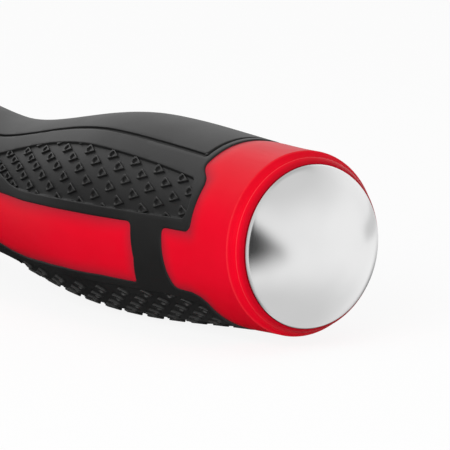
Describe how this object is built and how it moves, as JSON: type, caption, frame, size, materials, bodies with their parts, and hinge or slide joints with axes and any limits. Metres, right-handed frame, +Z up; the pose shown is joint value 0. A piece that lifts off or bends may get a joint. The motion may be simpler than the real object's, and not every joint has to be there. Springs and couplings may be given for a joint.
{
  "type": "struck wood chisel",
  "caption": "Bevel-edge chisel with a two-component red and black handle and a domed steel strike cap.",
  "frame": {"origin": "middle of the tool's length, under the tool axis, on the surface that the handle's belly lies on", "axes": "+X along the tool axis towards the strike cap, +Z up towards the thumb panel and the blade's bevel side"},
  "size_m": [0.2928, 0.0376, 0.0379],
  "materials": {
    "blade_steel": "ground and lacquered steel",
    "ferrule_steel": "turned steel",
    "red_plastic": "satin moulded plastic",
    "black_rubber": "matte soft overmould",
    "cap_steel": "polished steel"
  },
  "bodies": {
    "root": {"blade": "blade_steel", "ferrule": "ferrule_steel", "handle_core": "red_plastic", "rubber_grip": "black_rubber", "strike_cap": "cap_steel"}
  },
  "joints": []
}
